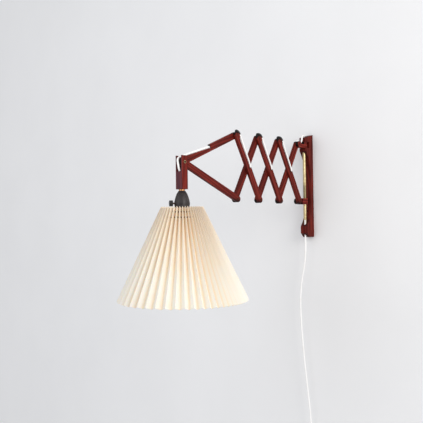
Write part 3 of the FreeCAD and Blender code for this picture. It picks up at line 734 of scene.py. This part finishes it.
def makeRelief(look, foot):
    # A ringed taper round the lead where it enters the plug
    mesh = bmesh.new()
    rows = look["rowsPerRing"] * look["rings"] + 1
    angles = [2 * math.pi * i / look["sides"] for i in range(look["sides"])]
    loops = []
    for row in range(rows):
        share = row / (rows - 1)
        radius = look["foot"] + share * (look["top"] - look["foot"])
        if row % look["rowsPerRing"] in look["sunkRows"]:
            radius -= look["ringDepth"]
        height = foot.z + share * look["length"]
        loops.append([mesh.verts.new((foot.x + radius * math.cos(a),
                                      foot.y + radius * math.sin(a), height)) for a in angles])
    for low, high in zip(loops, loops[1:]):
        for i in range(look["sides"]):
            j = (i + 1) % look["sides"]
            mesh.faces.new((low[i], low[j], high[j], high[i])).smooth = True
    mesh.faces.new(list(reversed(loops[0])))
    mesh.faces.new(loops[-1])
    return addPiece("plug_relief", plainMesh("plug_relief", mesh), plugMaterial)


leadEnd = Vector(freeCord["lead"][-1]) * mm
relief = makeRelief(reliefLook, leadEnd - Vector((0, 0, reliefLook["seated"])))
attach(relief, "bracket")
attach(freePiece, "bracket")
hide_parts("hanging_cord", "cord_coil")
print("free cord done")


# Pleated shade

paperLook = {
    "paper": (0.885, 0.83, 0.73),
    "warm": (0.87, 0.63, 0.4),
    # Painted shade: warm peach towards the valleys and near the top; the cloud adds a little
    # warmth at random
    "paintedValleyShade": (0.4, 1.0, 0.0, 0.46),
    "paintedTopShade": (0.0, 0.26, 0.4, 0.0),
    "cloud": (14.0, 2.0),
    "warmCloud": (0.3, 0.75, 0.0, 0.1),
    "fleck": (0.8, 0.74, 0.63),
    "fibre": (520.0, 4.0, 0.6),
    "fleckRange": (0.5, 0.75, 0.0, 0.1),
    "hole": (0.11, 0.08, 0.06),
    "holeRows": (11.5 * mm, 27.0 * mm),
    "holeRange": (1.33 * mm, 1.9 * mm, 1.0, 0.0),
    "valley": (0.6, 0.7),
    "roughness": 0.62,
    "bump": (0.12, 0.2 * mm),
    "glow": {"Subsurface Weight": 0.25, "Subsurface Radius": (1.0, 0.6, 0.35),
             "Subsurface Scale": 4.0 * mm},
}


def makePaper(look):
    # The shade's mesh tells how far a place is across its facet and down the slope
    material, tree, bsdf = newMaterial("shade_paper")
    coords = addCoords(tree)
    across, down = (addNode(tree, "ShaderNodeAttribute", attribute_name=layer).outputs["Fac"]
                    for layer in ("across", "down"))
    fibre = addNoise(tree, coords, *look["fibre"])
    cloud = addNoise(tree, coords, *look["cloud"])
    # Painted shade in the valleys and near the top, plus a random cloud of warmth
    warmth = addMaths(tree, "ADD", addRange(tree, across, *look["paintedValleyShade"]),
                      addRange(tree, cloud, *look["warmCloud"]))
    warmth = addMaths(tree, "ADD", warmth, addRange(tree, down, *look["paintedTopShade"]))
    colour = addMix(tree, warmth, look["paper"], look["warm"])
    colour = addMix(tree, addRange(tree, fibre, *look["fleckRange"]), colour, look["fleck"])
    # Painted shade: dark spots where the holes show the dim inside of the lampshade
    for row in look["holeRows"]:
        away = addMaths(tree, "ABSOLUTE", addMaths(tree, "SUBTRACT", down, row))
        punched = addMaths(tree, "MULTIPLY", addRange(tree, away, *look["holeRange"]),
                           addRange(tree, across, *look["valley"]))
        colour = addMix(tree, punched, colour, look["hole"])
    paint(tree, bsdf, colour, look["roughness"])
    for key, value in look["glow"].items():
        bsdf.inputs[key].default_value = value
    addBump(tree, bsdf, fibre, *look["bump"])
    return material


shadeLook = {
    "topDrop": 120.0 * mm,
    "height": 243.0 * mm,
    "topRadius": 50.0 * mm,
    "lowRadius": 168.5 * mm,
    "pleats": 51,
    "depthTop": 12.5 * mm,
    "depthLow": 9.5 * mm,
    "unevenness": 0.25,  # how much wider the pleats are on two sides
    "widestTurn": 3.0,  # where, in degrees
    "rows": 30,
    "across": (0.0, 0.03, 0.15, 0.5, 0.85, 0.97),  # columns of a facet, from its first fold
    "foldEase": 0.18 * mm,
    "creaseShare": 0.04,
    "bow": 0.9 * mm,
    "bowSeed": 3.7,
    "bowInward": 0.35,
    "bowFade": 0.7,
    "wander": 0.35,  # degrees, the most that a fold strays from its line
    "thickness": 0.7 * mm,
}


def hash01(n):
    # A fixed share between 0 and 1 for each number
    return math.sin(n * 127.1 + 311.7) * 43758.5453 % 1


def foldPlace(look, i, down):
    # Fold i at a share of the way down: even folds are ridges, odd ones valleys
    slope = math.atan2(look["lowRadius"] - look["topRadius"], look["height"])
    depth = look["depthTop"] + down * (look["depthLow"] - look["depthTop"])
    sign = 1 if i % 2 == 0 else -1
    offset = sign * depth / 2
    radius = look["topRadius"] + down * (look["lowRadius"] - look["topRadius"])
    radius += offset * math.cos(slope)
    height = -look["topDrop"] - down * look["height"] + offset * math.sin(slope)
    evenTurn = math.pi * i / look["pleats"]
    swing = 2 * (evenTurn - math.radians(look["widestTurn"]))
    turn = evenTurn + look["unevenness"] / 2 * math.sin(swing)
    turn += math.radians(look["wander"]) * math.sin(math.pi * down) * (2 * hash01(i) - 1)
    return Vector((radius * math.sin(turn), -radius * math.cos(turn), height))


def facetPlace(look, i, share, down, toRidge):
    # Soft creases, and a slight bow in every facet away from its folds
    following = (i + 1) % (2 * look["pleats"])
    place = foldPlace(look, i, down).lerp(foldPlace(look, following, down), share)
    flat = Vector((place.x, place.y, 0)).normalized()
    crease = math.exp(-(min(share, 1 - share) / look["creaseShare"]) ** 2)
    inward = -1 if toRidge < 0.5 else 1
    bow = look["bow"] * (hash01(i * look["bowSeed"]) - look["bowInward"])
    bow *= math.sin(math.pi * share) * math.sin(math.pi * down) ** look["bowFade"]
    return place + flat * (inward * crease * look["foldEase"] + bow)


def makeShade(look):
    mesh = bmesh.new()
    acrossLayer = mesh.verts.layers.float.new("across")
    downLayer = mesh.verts.layers.float.new("down")
    slant = math.hypot(look["height"], look["lowRadius"] - look["topRadius"])
    columns = [(i, share) for i in range(2 * look["pleats"]) for share in look["across"]]
    grid = []
    for row in range(look["rows"] + 1):
        down = row / look["rows"]
        line = []
        for i, share in columns:
            toRidge = share if i % 2 == 0 else 1 - share
            vertex = mesh.verts.new(facetPlace(look, i, share, down, toRidge) + head)
            vertex[acrossLayer] = toRidge
            vertex[downLayer] = down * slant
            line.append(vertex)
        grid.append(line)
    for upper, lower in zip(grid, grid[1:]):
        for c in range(len(columns)):
            d = (c + 1) % len(columns)
            mesh.faces.new((upper[c], lower[c], lower[d], upper[d])).smooth = False
    bmesh.ops.recalc_face_normals(mesh, faces=mesh.faces)
    sheet = addPiece("shade_sheet_open", plainMesh("shade_sheet", mesh))
    thick = sheet.modifiers.new("thickness", "SOLIDIFY")
    thick.thickness = look["thickness"]
    thick.offset = -1
    return settle(sheet, "shade_sheet", makePaper(paperLook))


shade = makeShade(shadeLook)
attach(shade, "head")
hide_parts("pleated_shade")
print("shade done")


# Ribs round the holder, one rib repeated about its axis

ribLook = {
    "count": 40,
    "width": 1.5 * mm,
    "stand": 0.55 * mm,
    "sink": 0.4 * mm,
    "sides": 6,
    "endTaper": 0.25,
    "cap": [(11.0, -78.5), (13.6, -84.0), (16.2, -91.0), (18.2, -97.5), (19.5, -103.3),
            (20.3, -109.0), (20.5, -113.8)],
    "skirt": [(19.8, -115.2), (19.8, -146.5)],
}


def makeRib(name, look, outline):
    # A thin half-round rib that follows the holder's outline, tapered at both ends
    mesh = bmesh.new()
    sides = look["sides"]
    rows = []
    for index, (radius, drop) in enumerate(outline):
        before = outline[max(index - 1, 0)]
        after = outline[min(index + 1, len(outline) - 1)]
        slope = Vector((after[0] - before[0], after[1] - before[1])).normalized()
        out = Vector((-slope.y, slope.x))
        taper = look["endTaper"] if index in (0, len(outline) - 1) else 1.0
        row = []
        for side in range(sides + 1):
            turn = math.pi * side / sides
            lift = math.sin(turn) * (look["stand"] + look["sink"]) * taper - look["sink"]
            sway = -math.cos(turn) * look["width"] / 2
            row.append(mesh.verts.new((radius * mm + out.x * lift, sway,
                                       drop * mm + out.y * lift)))
        rows.append(row)
    for low, high in zip(rows, rows[1:]):
        for side in range(sides):
            mesh.faces.new((low[side], low[side + 1], high[side + 1], high[side])).smooth = True
        mesh.faces.new((low[sides], low[0], high[0], high[sides]))
    mesh.faces.new(rows[0])
    mesh.faces.new(list(reversed(rows[-1])))
    bmesh.ops.recalc_face_normals(mesh, faces=mesh.faces)
    return plainMesh(name, mesh)


def repeatAboutAxis(name, mesh, count, centre, material):
    # Copies of the mesh spread evenly round the upright line through the centre
    group = bpy.data.node_groups.new(name + "_ring", "GeometryNodeTree")
    for socket, kind in (("Geometry", "Geometry"), ("Count", "Int"), ("Centre", "Vector"),
                         ("Material", "Material")):
        group.interface.new_socket(socket, in_out="INPUT", socket_type="NodeSocket" + kind)
    group.interface.new_socket("Geometry", in_out="OUTPUT", socket_type="NodeSocketGeometry")
    entry = addNode(group, "NodeGroupInput").outputs
    spots = addNode(group, "GeometryNodePoints",
                    {"Count": entry["Count"], "Position": entry["Centre"]})
    index = addNode(group, "GeometryNodeInputIndex").outputs["Index"]
    share = addMaths(group, "DIVIDE", index, entry["Count"])
    turn = addMaths(group, "MULTIPLY", share, 2 * math.pi)
    spin = addNode(group, "ShaderNodeCombineXYZ", {"Z": turn}).outputs["Vector"]
    copies = addNode(group, "GeometryNodeInstanceOnPoints",
                     {"Points": spots.outputs[0], "Instance": entry["Geometry"]})
    turned = addNode(group, "GeometryNodeRotateInstances",
                     {"Instances": copies.outputs[0], "Rotation": spin})
    real = addNode(group, "GeometryNodeRealizeInstances", {"Geometry": turned.outputs[0]})
    painted = addNode(group, "GeometryNodeSetMaterial",
                      {"Geometry": real.outputs[0], "Material": entry["Material"]})
    addNode(group, "NodeGroupOutput", {"Geometry": painted.outputs[0]})
    piece = addPiece(name + "_one", mesh)
    ring = piece.modifiers.new("ring", "NODES")
    ring.node_group = group
    sockets = {item.name: item.identifier for item in group.interface.items_tree
               if item.in_out == "INPUT"}
    ring[sockets["Count"]] = count
    ring[sockets["Centre"]] = list(centre)
    ring[sockets["Material"]] = material
    return settle(piece, name, material)


for part in ("cap", "skirt"):
    name = f"holder_{part}_ribs"
    ribs = repeatAboutAxis(name, makeRib(name, ribLook, ribLook[part]), ribLook["count"], head,
                           holderMaterial)
    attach(ribs, "head")
print("holder ribs done")


# The wall behind, which is not part of the lamp

wallLook = {
    "colour": (0.955, 0.953, 0.95),
    "mottle": (0.931125, 0.929175, 0.92625),
    "mottleNoise": (2.2, 3.0),
    "mottleRange": (0.3, 0.7),
    "roughness": 0.9,
    "grain": (260.0, 3.0),
    "bump": (0.05, 0.5 * mm),
    "halfSide": 4.0,
    "behind": 0.6 * mm,
}


def makeWall(look):
    half, y = look["halfSide"], look["behind"]
    mesh = bpy.data.meshes.new("wall")
    corners = [(-half, y, -half), (half, y, -half), (half, y, half), (-half, y, half)]
    mesh.from_pydata(corners, [], [(0, 1, 2, 3)])
    material, tree, bsdf = newMaterial("wall_paint")
    coords = addCoords(tree)
    mottled = addRange(tree, addNoise(tree, coords, *look["mottleNoise"]), *look["mottleRange"])
    paint(tree, bsdf, addMix(tree, mottled, look["colour"], look["mottle"]), look["roughness"])
    addBump(tree, bsdf, addNoise(tree, coords, *look["grain"]), *look["bump"])
    # Clear from behind, so that the lamp's back can be looked at
    backface = addNode(tree, "ShaderNodeNewGeometry").outputs["Backfacing"]
    clear = addNode(tree, "ShaderNodeBsdfTransparent")
    sided = addNode(tree, "ShaderNodeMixShader",
                    {0: backface, 1: bsdf.outputs["BSDF"], 2: clear.outputs["BSDF"]})
    tree.links.new(sided.outputs["Shader"], tree.nodes["Material Output"].inputs["Surface"])
    addPiece("wall", mesh, material)


makeWall(wallLook)

print("scene ready")
